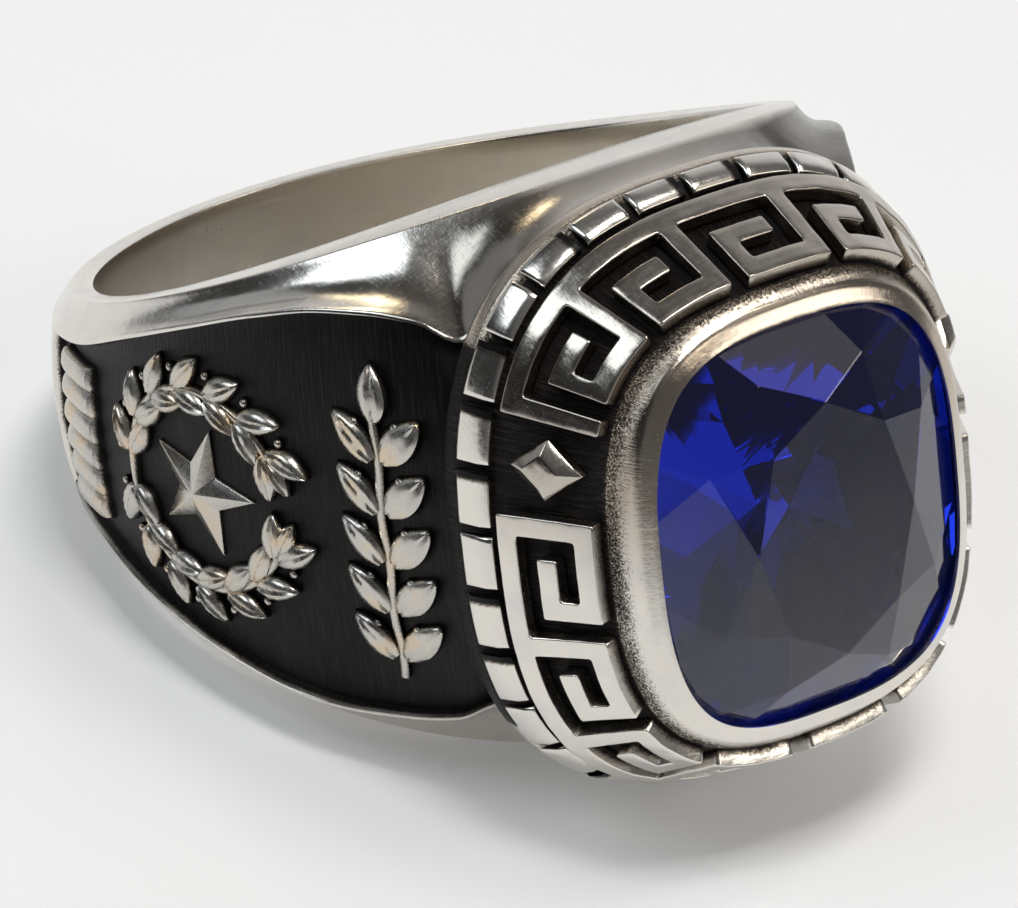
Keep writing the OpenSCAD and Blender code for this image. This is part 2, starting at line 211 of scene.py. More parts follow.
class RingSizes(bpy.types.PropertyGroup):
    """Sizes of the ring that a user would change."""

    finger_hole: bpy.props.FloatProperty(
        name="Finger hole", description="Diameter of the finger hole, US ring size 10",
        default=2 * HOLE["dims"]["r_mm"] * MM, subtype="DISTANCE", precision=5,
    )
    head_width: bpy.props.FloatProperty(
        name="Head width", description="Width of the head across the finger",
        default=0.0161, subtype="DISTANCE", precision=5,
    )
    head_length: bpy.props.FloatProperty(
        name="Head length", description="Length of the head along the finger",
        default=0.0177, subtype="DISTANCE", precision=5,
    )
    squareness: bpy.props.FloatProperty(
        name="Squareness", description="How square the cushion outline of the head is, 2 being an ellipse",
        default=2.6,
    )
    panel_depth: bpy.props.FloatProperty(
        name="Panel depth", description="Depth of the sunk panel on each shoulder",
        default=0.0004, subtype="DISTANCE", precision=5,
    )
    ornament_height: bpy.props.FloatProperty(
        name="Ornament height", description="Height of the key ornament above the channel's floor",
        default=0.00048, subtype="DISTANCE", precision=5,
    )
    relief_height: bpy.props.FloatProperty(
        name="Relief height", description="Height of the shoulder relief above the panel's floor",
        default=0.00044, subtype="DISTANCE", precision=5,
    )
    slot_width: bpy.props.FloatProperty(
        name="Slot width", description="Width of the slot between two blocks of the border",
        default=0.00025, subtype="DISTANCE", precision=5,
    )
    block_count: bpy.props.IntProperty(
        name="Blocks", description="Number of blocks in the border around the head", default=30,
    )
    key_units_above: bpy.props.IntProperty(
        name="Key units above", description="Number of key units over the lozenges", default=5,
    )
    key_units_below: bpy.props.IntProperty(
        name="Key units below", description="Number of key units under the lozenges", default=8,
    )


class RingFinish(bpy.types.PropertyGroup):
    """Colours and wear of the ring that a user would change."""

    silver: bpy.props.FloatVectorProperty(
        name="Silver", description="Colour of the polished silver",
        default=(0.78, 0.755, 0.71), subtype="COLOR",
    )
    tarnish: bpy.props.FloatVectorProperty(
        name="Tarnish", description="Colour of the darkened recesses",
        default=(0.006, 0.0055, 0.0055), subtype="COLOR",
    )
    brown: bpy.props.FloatVectorProperty(
        name="Brown tarnish", description="Colour of the thin tarnish between polished and darkened silver",
        default=(0.13, 0.11, 0.09), subtype="COLOR",
    )
    inside: bpy.props.FloatVectorProperty(
        name="Inside", description="Colour of the satin wall of the finger hole",
        default=(0.68, 0.63, 0.54), subtype="COLOR",
    )
    relief: bpy.props.FloatVectorProperty(
        name="Relief", description="Colour of the silver of the shoulder relief",
        default=(0.60, 0.58, 0.54), subtype="COLOR",
    )
    stone: bpy.props.FloatVectorProperty(
        name="Stone", description="Colour of the light that the stone lets through",
        default=(0.03, 0.25, 0.80), subtype="COLOR",
    )
    stone_depth: bpy.props.FloatProperty(
        name="Stone depth", description="How strongly the stone takes up light, per metre", default=420.0,
    )
    table: bpy.props.FloatVectorProperty(
        name="Table top", description="Colour of the table that the ring lies on",
        default=(0.86, 0.87, 0.885), subtype="COLOR",
    )
    # Painted light: the table glows by itself, lifting its shadows, though it is no lamp
    table_painted_glow: bpy.props.FloatProperty(
        name="Table glow", description="How much light the table gives off by itself, as a light table does",
        default=0.12,
    )


def smooth_slopes(xs, ys):
    """Slopes at the stations of a smooth curve that never overshoots them."""
    steps = [(ys[i + 1] - ys[i]) / (xs[i + 1] - xs[i]) for i in range(len(xs) - 1)]
    inner = [2 * a * b / (a + b) if a * b > 0 else 0 for a, b in zip(steps, steps[1:])]
    return [0, *inner, 0]


def mix(a, b, k):
    return a + (b - a) * k


def clamp(value):
    return min(1, max(0, value))


def signed_pow(value, power):
    return math.copysign(abs(value) ** power, value)


def turned(x, y, degrees):
    """The flat point x, y turned about the origin."""
    c, s = math.cos(math.radians(degrees)), math.sin(math.radians(degrees))
    return x * c - y * s, x * s + y * c


def direction(bearing, height):
    """The way to a place at a bearing from the camera's, to the right, and at a height in degrees."""
    a, e = math.radians(CAMERA_BEARING + bearing), math.radians(height)
    return Vector((math.sin(a) * math.cos(e), -math.cos(a) * math.cos(e), math.sin(e)))


class RingShape:
    """The ring's curves in mm, as in the part's source: finger hole along Z, head towards -Y."""

    rim_head, rim_side, rim_back = 8.55, 4.5, 2.4
    samples = 1440

    def __init__(self, sizes):
        self.bore_r = sizes.finger_hole / 2 / MM
        self.head_w = sizes.head_width / MM
        self.head_l = sizes.head_length / MM
        self.squareness = sizes.squareness
        self.panel_depth = sizes.panel_depth / MM
        self.ornament_h = sizes.ornament_height / MM
        self.relief_h = sizes.relief_height / MM
        self.slot_w = sizes.slot_width / MM
        self.block_count = sizes.block_count
        self.key_units = (sizes.key_units_above, sizes.key_units_below)
        self.angles = [row[0] for row in BAND]
        self.columns = [[row[c] for row in BAND] for c in range(1, 7)]
        self.slopes = [smooth_slopes(self.angles, column) for column in self.columns]
        turn = Vector((0, 0, 1)).rotation_difference(Vector(HOLE["axis"])).to_matrix().to_4x4()
        self.laid_down = Matrix.Translation(HOLE["pos_m"]) @ turn @ Matrix.Scale(MM, 4)
        points = [self.outline_point(2 * math.pi * i / self.samples) for i in range(self.samples + 1)]
        self.travelled = [0.0]
        for a, b in zip(points, points[1:]):
            self.travelled.append(self.travelled[-1] + (b - a).length)
        self.outline_length = self.travelled[-1]
        run = Vector(CHANNEL_TOP[:2]) - Vector(CHANNEL_FOOT[:2])
        self.channel_len = run.length
        self.key_low, self.key_high = KEY_LOW * run.length, KEY_HIGH * run.length
        self.raise_way = Vector((-run.y, run.x)) / run.length

    @lru_cache(maxsize=None)
    def station(self, angle):
        """Edge height, reach, bulge, sunk, strip and hollow of the band at an angle."""
        angle = abs((angle + 180) % 360 - 180)
        i = min(max(bisect_right(self.angles, angle) - 1, 0), len(BAND) - 2)
        width = self.angles[i + 1] - self.angles[i]
        t = (angle - self.angles[i]) / width
        row = []
        for ys, ms in zip(self.columns, self.slopes):
            rise = (1 + 2 * t) * (1 - t) ** 2 * ys[i] + t * t * (3 - 2 * t) * ys[i + 1]
            row.append(rise + width * (t * (1 - t) ** 2 * ms[i] + t * t * (t - 1) * ms[i + 1]))
        return row

    def rim(self, angle):
        c = math.cos(math.radians(angle))
        even = (self.rim_head + self.rim_back) / 2 - self.rim_side
        return self.rim_side + (self.rim_head - self.rim_back) / 2 * c + even * c * c

    def around(self, r, angle, z):
        a = math.radians(angle)
        return Vector((r * math.sin(a), -r * math.cos(a), z))

    def face_r(self, angle, z):
        edge, reach, bulge = self.station(angle)[:3]
        return self.bore_r + reach + bulge * (1 - (z / edge) ** 2)

    def floor_r(self, angle, z):
        return self.face_r(angle, z) - self.panel_depth * self.station(angle)[3]

    def outline_point(self, a):
        power = 2 / self.squareness
        return Vector((
            self.head_w / 2 * signed_pow(math.cos(a), power),
            self.head_l / 2 * signed_pow(math.sin(a), power),
        ))

    def inset_point(self, s, inset):
        """A point of the head's outline, s mm along it and moved in by an inset."""
        s %= self.outline_length
        i = min(bisect_right(self.travelled, s) - 1, self.samples - 1)
        k = (s - self.travelled[i]) / (self.travelled[i + 1] - self.travelled[i])
        p = self.outline_point(2 * math.pi * (i + k) / self.samples)
        power = self.squareness - 1
        way = Vector((
            signed_pow(2 * p.x / self.head_w, power) / self.head_w,
            signed_pow(2 * p.y / self.head_l, power) / self.head_l,
        ))
        return p - way.normalized() * inset

    def head_point(self, s, inset, height, fall):
        p = self.inset_point(s, inset)
        return Vector((p.x, fall * p.x * p.x - height - self.bore_r, p.y))

    def channel_point(self, s, across, height):
        """A point over the channel's floor, across mm from its foot and raised by a height."""
        k = across / self.channel_len
        inset, rise, fall = (mix(a, b, k) for a, b in zip(CHANNEL_FOOT, CHANNEL_TOP))
        inset += self.raise_way.x * height
        rise += self.raise_way.y * height
        return self.head_point(s, inset, rise, fall)

    def on_panel(self, centre, u, v, height):
        """A point over a shoulder panel: u along the finger, v towards the head."""
        angle = centre - math.degrees(v / self.floor_r(centre, 0))
        return self.around(self.floor_r(angle, u) + height, angle, u)


def soften(corners):
    """Rounds a line of corners: each is a place, its tarnish and its radius."""
    line = []
    for i, (place, tarnish, radius) in enumerate(corners):
        if radius <= 0 or i in (0, len(corners) - 1):
            line.append((place, tarnish))
            continue
        before = place + (corners[i - 1][0] - place).normalized() * radius
        after = place + (corners[i + 1][0] - place).normalized() * radius
        line += [(before, tarnish), ((before + after + 2 * place) / 4, tarnish), (after, tarnish)]
    return line


def flat_sheet(columns, rows):
    """A flat sheet of cells whose vertices stand at whole numbers, from 0 to columns and rows."""
    bm = bmesh.new()
    place = Matrix.Diagonal((columns, rows, 1, 1)) @ Matrix.Translation((0.5, 0.5, 0))
    bmesh.ops.create_grid(bm, x_segments=columns, y_segments=rows, size=0.5, matrix=place)
    return bm


def put(bm, place, cell=(1, 1)):
    """Moves each vertex to its place, given as a point in mm and how tarnished it is.

    The flat place that it had stays as its UV, in mm, a flat unit being as large as a cell.
    """
    lay = bm.loops.layers.uv.verify()
    for face in bm.faces:
        for loop in face.loops:
            loop[lay].uv = (loop.vert.co.x * cell[0], loop.vert.co.y * cell[1])
    tarnish = bm.verts.layers.float.get("tarnish") or bm.verts.layers.float.new("tarnish")
    for v in bm.verts:
        v.co, v[tarnish] = place(v.co.copy())


def face_out(bm):
    bmesh.ops.recalc_face_normals(bm, faces=bm.faces)


def extruded(bm, faces):
    """Extrudes faces on the spot, and gives the new vertices."""
    made = bmesh.ops.extrude_face_region(bm, geom=faces)["geom"]
    return [g for g in made if isinstance(g, bmesh.types.BMVert)]


def sharp_edges(bm, limit, wanted=lambda edge: True):
    """The edges where two faces meet at more than a limit in degrees."""
    return [
        e for e in bm.edges
        if len(e.link_faces) == 2 and e.calc_face_angle() > math.radians(limit) and wanted(e)
    ]


def low_end(edge):
    return min(v.co.z for v in edge.verts)


def high_end(edge):
    return max(v.co.z for v in edge.verts)


def rounded(bm, edges, offset, segments):
    bmesh.ops.bevel(
        bm, geom=edges, offset=offset, segments=segments, profile=0.5, affect="EDGES",
        material=-1, clamp_overlap=True,
    )


def add_to(whole, bm):
    """Adds one mesh in the making to another, and frees it."""
    mesh = bpy.data.meshes.new("part")
    bm.to_mesh(mesh)
    bm.free()
    whole.from_mesh(mesh)
    bpy.data.meshes.remove(mesh)


def new_object(name, bm, material):
    """An object in the scene with that mesh and material."""
    mesh = bpy.data.meshes.new(name)
    bm.to_mesh(mesh)
    bm.free()
    mesh.materials.append(material)
    made = bpy.data.objects.new(name, mesh)
    bpy.context.scene.collection.objects.link(made)
    return made


def finish_piece(name, bm, shape, material, replaced=(), sharp=38):
    """Closes the mesh, lays it down with the ring, and makes it a piece that rides on the ring."""
    bmesh.ops.remove_doubles(bm, verts=bm.verts, dist=1e-4)
    bmesh.ops.dissolve_degenerate(bm, edges=bm.edges, dist=1e-5)
    face_out(bm)
    bmesh.ops.transform(bm, matrix=shape.laid_down, verts=bm.verts)
    for face in bm.faces:
        face.smooth = True
    for edge in bm.edges:
        edge.smooth = len(edge.link_faces) == 2 and edge.calc_face_angle() < math.radians(sharp)
    piece = new_object(name, bm, material)
    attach(piece, "root")
    if replaced:
        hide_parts(*replaced)
    return piece


def band_half(shape, angle):
    """Half of the band's section, from the middle of the hole's wall out to the middle of the face."""
    edge, reach, _, sunk, strip, hollow = shape.station(angle)
    rim = shape.rim(angle)
    hole_edge = Vector((shape.bore_r, rim))
    inner = Vector((shape.bore_r + strip, rim))
    outer = Vector((shape.bore_r + reach, edge))
    corners = [(Vector((shape.bore_r, rim * k / WALL_CELLS)), 0.0, 0) for k in range(WALL_CELLS)]
    corners.append((hole_edge, 0.0, HOLE_EDGE_R))
    corners.append((inner.lerp(hole_edge, 0.5), BARE, 0))
    corners.append((inner, BARE / 3, STRIP_EDGE_R))
    run = (outer - inner).normalized()
    down = Vector((run.y, -run.x))
    for i in range(1, FLANK_CELLS):
        k = i / FLANK_CELLS
        corners.append((inner.lerp(outer, k) + down * hollow * math.sin(math.pi * k), 0.0, 0))
    corners.append((outer, 0.0, FLANK_EDGE_R))
    land = edge - LAND_W
    top = land - WALL_RUN
    corners.append((Vector((shape.face_r(angle, land), land)), LAND_TARNISH * sunk, PANEL_EDGE_R))
    corners.append((Vector((shape.floor_r(angle, top), top)), sunk, PANEL_EDGE_R))
    for i in range(PANEL_CELLS - 1, -1, -1):
        z = top * i / PANEL_CELLS
        corners.append((Vector((shape.floor_r(angle, z), z)), sunk, 0))
    return soften(corners)


def build_band(shape, material, inside, cell=(0.2, 0.4), on_wall=0.002):
    """The band: one closed loop around the finger hole, with its rim strips, flanks and sunk panels."""
    # Stations in degrees, close together where the panels end
    half = [float(a) for a in range(0, 111)]
    half += [111, 111.6, 111.9, 112, 112.1, 112.3, 112.5, 112.7, 112.9, 113, 113.3, 114]
    half += [115.5 + 1.5 * i for i in range(43)] + [180]
    angles = half + [360 - a for a in half[-2:0:-1]]
    loops = []
    for angle in angles:
        section = band_half(shape, angle)
        lower = [(Vector((p.x, -p.y)), t or BARE) for p, t in section[-2:0:-1]]
        loops.append(section + lower)
    rows = len(loops[0])
    bm = flat_sheet(len(angles), rows)

    def place(co):
        i = round(co.x) % len(angles)
        p, tarnish = loops[i][round(co.y) % rows]
        return shape.around(p.x, angles[i], p.y), tarnish

    put(bm, place, cell)
    for face in bm.faces:
        if all(v.co.xy.length < shape.bore_r + on_wall for v in face.verts):
            face.material_index = 1
    piece = finish_piece("ring_band", bm, shape, material, replaced=("ring_body",), sharp=50)
    piece.data.materials.append(inside)
    return piece


def build_head(shape, material, stations=360, cell_h=0.3):
    """The head: its collar, the channel, the bezel with its lip, and the pocket for the stone."""
    corners = []
    for i, (inset, height, fall, tarnish, radius, cells) in enumerate(HEAD):
        here = Vector((inset, height, fall))
        corners.append((here, tarnish, radius))
        for k in range(1, cells):
            after = HEAD[i + 1]
            tone = mix(tarnish, after[3], k / cells)
            corners.append((here.lerp(Vector(after[:3]), k / cells), tone, 0))
    rows = soften(corners)
    last = len(rows)
    bm = flat_sheet(stations, last + 1)

    def place(co):
        j = round(co.y)
        s = shape.outline_length * round(co.x) / stations
        (inset, height, fall), tarnish = rows[min(max(j - 1, 0), last - 1)]
        if 0 < j <= last:
            p = shape.head_point(s, inset, height, fall)
            if height < CHANNEL_FOOT[1]:
                tarnish = max(tarnish, clamp((COLLAR_DARK_Z - abs(p.z)) / COLLAR_FADE))
            return p, tarnish
        return Vector((0, -shape.bore_r - height, 0)), tarnish

    put(bm, place, (shape.outline_length / stations, cell_h))
    return finish_piece("ring_head", bm, shape, material, sharp=50)


def build_border(shape, material):
    """The rounded blocks of the border, with a slot between each two that flares at its outer end."""
    pitch = shape.outline_length / shape.block_count
    length = pitch - shape.slot_w
    whole = bmesh.new()
    for i in range(shape.block_count):
        bm = bmesh.new()
        start = BLOCK_SHIFT + i * pitch + shape.slot_w / 2
        face = bm.faces.new([bm.verts.new((start, inset, height)) for inset, height in BLOCK])
        for _ in range(BLOCK_STEPS):
            made = bmesh.ops.extrude_face_region(bm, geom=[face])["geom"]
            moved = [g for g in made if isinstance(g, bmesh.types.BMVert)]
            bmesh.ops.translate(bm, verts=moved, vec=(length / BLOCK_STEPS, 0, 0))
            old, face = face, next(g for g in made if isinstance(g, bmesh.types.BMFace))
            if old.is_valid and old.calc_center_median().x > start + 1e-6:
                bm.faces.remove(old)
        face_out(bm)

        def at_end(edge):
            middle = (edge.verts[0].co + edge.verts[1].co) / 2
            flat = abs(edge.verts[0].co.x - edge.verts[1].co.x) < 1e-6
            outer = middle.y < BLOCK_OUTER and middle.z > BLOCK_FLARE_H
            return flat and outer and not 1e-4 < middle.x - start < length - 1e-4

        rounded(bm, sharp_edges(bm, 60, at_end), BLOCK_FLARE, 2)
        rounded(bm, sharp_edges(bm, 22, lambda e: low_end(e) > BLOCK_UPPER_H), BLOCK_EDGE, 2)
        add_to(whole, bm)

    def place(co):
        along = (co.x - BLOCK_SHIFT) % pitch
        side = min(along, pitch - along) < shape.slot_w / 2 + 0.01
        fall = mix(COLLAR_FALL, CHANNEL_FOOT[2], clamp(co.y / BLOCK_OUTER))
        foot = clamp((BLOCK_FOOT_H - co.z) / 0.3) if co.y > BLOCK_OUTER else 0.0
        return shape.head_point(co.x, co.y, co.z, fall), max(DEEP_TARNISH if side else 0.0, 0.8 * foot)

    put(whole, place)
    return finish_piece("border_blocks", whole, shape, material)


def build_key(shape, material, fine=3):
    """The key ornament: raised slabs on the channel's floor, in two strips between the lozenges."""
    rows = len(KEY_CHART)
    unit = len(KEY_CHART[0])
    ends = LOZENGE_HALF_L + LOZENGE_GAP
    half = shape.outline_length / 2
    strips = (
        (LOZENGE_SHIFT + ends, half - 2 * (LOZENGE_SHIFT + ends)),
        (half - LOZENGE_SHIFT + ends, half + 2 * (LOZENGE_SHIFT - ends)),
    )
    top = shape.ornament_h

    def unmarked(face):
        middle = face.calc_center_median() / fine
        return KEY_CHART[int(middle.y)][int(middle.x) % unit] != "#"

    whole = bmesh.new()
    for units, (start, length) in zip(shape.key_units, strips):
        columns = units * unit + 1
        bm = flat_sheet(columns * fine, rows * fine)
        bmesh.ops.delete(bm, geom=[f for f in bm.faces if unmarked(f)], context="FACES")
        for v in bm.verts:
            v.co.x = start + length * v.co.x / (columns * fine)
            v.co.y = mix(shape.key_low, shape.key_high, v.co.y / (rows * fine))
            v.co.z = -ROOT
        for v in extruded(bm, bm.faces[:]):
            v.co.z = top
        face_out(bm)
        rounded(bm, sharp_edges(bm, 60, lambda e: high_end(e) - low_end(e) > 0.1), KEY_CORNER, 2)
        rounded(bm, sharp_edges(bm, 60, lambda e: low_end(e) > 0.3), KEY_EDGE, 3)
        add_to(whole, bm)

    def place(co):
        worn = noise.noise(co * 1.7) * 0.02 + noise.noise(co * 9) * 0.008
        height = co.z + (worn if co.z > 0 else 0)
        return shape.channel_point(co.x, co.y, height), clamp((top - 0.04 - co.z) / 0.3) * FOOT_TARNISH

    put(whole, place)
    return finish_piece("key_ornament", whole, shape, material)


def build_lozenges(shape, material):
    """The two faceted lozenges that part the key strips."""
    whole = bmesh.new()
    for s in (LOZENGE_SHIFT, shape.outline_length / 2 - LOZENGE_SHIFT):
        bm = bmesh.new()
        bmesh.ops.create_circle(bm, cap_ends=True, segments=4, radius=1)
        face = next(iter(bm.faces))
        for v in bm.verts:
            v.co = Vector((v.co.x * LOZENGE_HALF_L, v.co.y * LOZENGE_HALF_W, -ROOT))
        for height, size in LOZENGE_RISE:
            face = bmesh.ops.extrude_discrete_faces(bm, faces=[face])["faces"][0]
            for v in face.verts:
                v.co = Vector((v.co.x * size, v.co.y * size, height))
        face_out(bm)
        rounded(bm, sharp_edges(bm, 15, lambda e: high_end(e) > 0.3), LOZENGE_EDGE, 2)
        bmesh.ops.subdivide_edges(bm, edges=bm.edges, cuts=2, use_grid_fill=True)
        bmesh.ops.translate(bm, verts=bm.verts, vec=(s, (shape.key_low + shape.key_high) / 2, 0))
        add_to(whole, bm)

    def place(co):
        return shape.channel_point(co.x, co.y, co.z), clamp((0.2 - co.z) / 0.25) * FOOT_TARNISH

    put(whole, place)
    return finish_piece("lozenges", whole, shape, material)


class Relief:
    """Raised shapes on a shoulder panel, drawn flat: X along the finger, Y towards the head, Z the height."""

    def __init__(self):
        self.bm = bmesh.new()

    def mound(self, columns, rows, outline, height):
        """A closed low mound: outline(k, e) gives a flat place, height(k, e) its height, e from -1 to 1."""
        bm = flat_sheet(columns, rows)
        upper = set(extruded(bm, bm.faces[:]))
        for v in bm.verts:
            k, e = v.co.x / columns, 2 * v.co.y / rows - 1
            x, y = outline(k, e)
            v.co = Vector((x, y, height(k, e) if v in upper else -RELIEF_ROOT))
        bmesh.ops.remove_doubles(bm, verts=bm.verts, dist=1e-4)
        bmesh.ops.dissolve_degenerate(bm, edges=bm.edges, dist=1e-4)
        add_to(self.bm, bm)

    def leaf(self, foot, heading, size, rise, veins=5):
        """A laurel leaf: domed, pointed, with a groove along its middle and faint side veins."""
        length, width = size

        def outline(k, e):
            half = width / 2 * math.sin(math.pi * k ** 0.85) ** 0.8 if 0 < k < 1 else 0
            x, y = turned(mix(0.06, 1, k) * length, e * half, heading)
            return foot[0] + x, foot[1] + y

        def height(k, e):
            if k in (0, 1) or abs(e) == 1:
                return -0.03
            dome = (1 - abs(e) ** 2.2) ** 0.5 * math.sin(math.pi * mix(0.12, 0.95, k)) ** 0.45
            groove = 0.16 * math.exp(-(e / 0.16) ** 2)
            vein = 0.035 * math.cos(2 * math.pi * (veins * k - 1.1 * abs(e)))
            return rise * (dome * 0.98 - groove + vein * dome)

        self.mound(12, 8, outline, height)

    def stem(self, path, rise):
        """A round stem along a path."""
        last = len(path) - 1

        def outline(k, e):
            i = round(k * last)
            a, b = Vector(path[max(i - 1, 0)]), Vector(path[min(i + 1, last)])
            way = (b - a).normalized()
            p = Vector(path[i]) + Vector((-way.y, way.x)) * e * STEM_W
            return p.x, p.y

        self.mound(last, 6, outline, lambda k, e: rise * STEM_RISE * (1 - e * e) ** 0.5 - 0.03)

    def berry(self, x, y, radius):
        bm = bmesh.new()
        bmesh.ops.create_uvsphere(bm, u_segments=12, v_segments=8, radius=radius)
        bmesh.ops.translate(bm, verts=bm.verts, vec=(x, y, radius * 0.55))
        add_to(self.bm, bm)

    def finished(self, kind, shape, centre, side, material, top, dark=0.66):
        """Places the flat shapes on a shoulder, side being 1 or -1, dark up to a share of their height."""

        def place(co):
            p = shape.on_panel(centre, co.x, co.y, co.z)
            p.x *= side
            return p, clamp((dark * top - co.z) / (0.9 * dark * top)) * DEEP_TARNISH

        put(self.bm, place)
        return finish_piece(kind + ("_left" if side < 0 else "_right"), self.bm, shape, material)


def build_wreath(shape, side, material, pairs=7, radius=3.02, opening=22):
    """The laurel wreath on a shoulder: two branches of paired leaves that leave an opening at the top."""
    relief = Relief()
    rise = shape.relief_h
    sweep = 180 - opening
    for way in (-1, 1):
        relief.stem([turned(0, -radius, way * sweep * i / 24) for i in range(25)], rise)
        back = 0 if way > 0 else 180
        for i in range(pairs):
            turn = way * (7 + (sweep - 20) * i / (pairs - 1))
            foot = turned(0, -radius, turn)
            for lean in (-30, 30):
                relief.leaf(foot, turn + back + lean, WREATH_LEAF, rise)
            fruit = turned(0, -radius - BERRY_OUT, turn + way * 2)
            relief.berry(*fruit, 0.15)
        tip = turned(0, -radius, way * (sweep - 8))
        relief.leaf(tip, (sweep - 8) * way + back, WREATH_TIP, rise)
    return relief.finished("wreath", shape, WREATH_ANGLE, side, material, rise)


def build_star(shape, side, material, radius=2.01, inner=0.42, edge_h=0.1):
    """The five-pointed star in the wreath, with a sharp ridge to each point."""
    bm = bmesh.new()
    bmesh.ops.create_circle(bm, cap_ends=True, cap_tris=True, segments=10, radius=radius)
    rise = shape.relief_h * 1.1
    outer = [v for v in bm.verts if v.co.length > radius / 2]
    for i, v in enumerate(sorted(outer, key=lambda v: math.atan2(v.co.y, v.co.x))):
        x, y = turned(radius * (1 if i % 2 == 0 else inner), 0, 90 + 36 * i)
        v.co = Vector((x, y, edge_h))
    rim = [e for e in bm.edges if e.is_boundary]
    made = bmesh.ops.extrude_edge_only(bm, edges=rim)["geom"]
    for g in made:
        if isinstance(g, bmesh.types.BMVert):
            g.co.z = -RELIEF_ROOT
    bmesh.ops.holes_fill(bm, edges=[e for e in bm.edges if e.is_boundary])
    for v in bm.verts:
        if v.co.xy.length < 1e-6:
            v.co.z = rise
    face_out(bm)
    rounded(bm, sharp_edges(bm, 12, lambda e: high_end(e) > edge_h), 0.025, 2)
    relief = Relief()
    add_to(relief.bm, bm)
    return relief.finished("star", shape, WREATH_ANGLE, side, material, rise, 0.2)


def build_sprig(shape, side, material, pairs=5, half=4.76):
    """The laurel sprig across a shoulder, beside the border."""
    relief = Relief()
    rise = shape.relief_h
    step = (2 * half - 1.9) / pairs
    relief.stem([(-half + i * (2 * half - 1) / 20, 0.05 * math.sin(i * 0.9)) for i in range(21)], rise)
    for i in range(pairs):
        for lean in (-1, 1):
            relief.leaf((-half + 0.5 + i * step, 0), lean * 42, SPRIG_LEAF, rise)
            relief.berry(-half + 0.62 + (i + 0.5) * step + 0.3, lean * BERRY_OUT, 0.16)
    relief.leaf((half - 1.85, 0), 0, SPRIG_TIP, rise)
    return relief.finished("sprig", shape, SPRIG_ANGLE, side, material, rise)


def build_bar(shape, side, material, reeds=6, half_l=2.4, half_w=1.3):
    """The reeded bar near the end of a shoulder panel."""
    relief = Relief()

    def height(k, e):
        if k in (0, 1) or abs(e) == 1:
            return -0.05
        reed = abs(math.sin(math.pi * k * reeds))
        ends = (1 - abs(e) ** 6) ** 0.5
        return shape.relief_h * (0.5 + 0.5 * reed ** 0.7) * ends

    relief.mound(reeds * 8, 12, lambda k, e: (mix(-half_l, half_l, k), e * half_w), height)
    return relief.finished("bar", shape, REED_ANGLE, side, material, shape.relief_h)


def cut_flat(bm, point, normal):
    """Grinds one flat facet on a convex solid: what lies beyond the plane goes."""
    made = bmesh.ops.bisect_plane(
        bm, geom=bm.verts[:] + bm.edges[:] + bm.faces[:], dist=1e-6, plane_co=point, plane_no=normal,
        clear_outer=True,
    )
    rim = [g for g in made["geom_cut"] if isinstance(g, bmesh.types.BMEdge)]
    if rim:
        bmesh.ops.contextual_create(bm, geom=rim)


def meeting_point(p, n, q, m, height):
    """Where two facets, each a point and a normal, cross at a height."""
    e = n.dot(p - Vector((0, 0, height)))
    f = m.dot(q - Vector((0, 0, height)))
    d = n.x * m.y - n.y * m.x
    return Vector(((e * m.y - f * n.y) / d, (n.x * f - m.x * e) / d, height))


def build_stone(shape, material, sides=96):
    """The stone: a prism on the girdle's outline, ground flat facet by facet.

    X runs across the ring, Y along the finger.
    """
    table_h = GIRDLE_H + CROWN_H
    low_h = GIRDLE_H - GIRDLE_T
    culet = Vector((0, 0, low_h - PAVILION_H))

    def girdle(i, height):
        p = shape.inset_point(shape.outline_length * i / 16, GIRDLE_INSET)
        return Vector((p.x, p.y, height))

    def facet(foot, along, peak):
        normal = along.cross(peak - foot).normalized()
        return foot, normal if normal.dot(foot - Vector((0, 0, foot.z))) > 0 else -normal

    bm = bmesh.new()
    bmesh.ops.create_circle(bm, cap_ends=True, segments=sides, radius=1)
    ring = sorted(bm.verts, key=lambda v: math.atan2(v.co.y, v.co.x) % (2 * math.pi))
    for i, v in enumerate(ring):
        v.co = girdle(16 * i / sides, culet.z)
    bmesh.ops.translate(bm, verts=extruded(bm, bm.faces[:]), vec=(0, 0, table_h - culet.z))
    face_out(bm)

    corners = []
    crown = []
    pavilion = []
    for i in range(8):
        a = math.radians(45 * i)
        corners.append(Vector((TABLE_W / 2 * math.cos(a), TABLE_L / 2 * math.sin(a), table_h)))
        along = girdle(2 * i + 1, 0) - girdle(2 * i - 1, 0)
        crown.append(facet(girdle(2 * i, GIRDLE_H), along, corners[i]))
        pavilion.append(facet(girdle(2 * i, low_h), along, culet))
    facets = crown + pavilion
    for i in range(8):
        k = (i + 1) % 8
        star = meeting_point(*crown[i], *crown[k], table_h - STAR_DROP)
        facets.append(facet(corners[i], corners[k] - corners[i], star))
        dip = meeting_point(*pavilion[i], *pavilion[k], culet.z + PAVILION_H * PAVILION_BREAK)
        for half in (0.5, 1.5):
            along = girdle(2 * i + half + 0.5, 0) - girdle(2 * i + half - 0.5, 0)
            facets.append(facet(girdle(2 * i + half, GIRDLE_H), along, star))
            facets.append(facet(girdle(2 * i + half, low_h), along, dip))
    for point, normal in facets:
        cut_flat(bm, point, normal)
    bmesh.ops.remove_doubles(bm, verts=bm.verts, dist=1e-3)
    face_out(bm)
    rounded(bm, sharp_edges(bm, 4, lambda e: low_end(e) > GIRDLE_H + 0.08), FACET_EDGE, 1)
    put(bm, lambda co: (Vector((co.x, -shape.bore_r - co.z, co.y)), 0.0))
    return finish_piece("cushion_stone", bm, shape, material, replaced=("stone",), sharp=1)


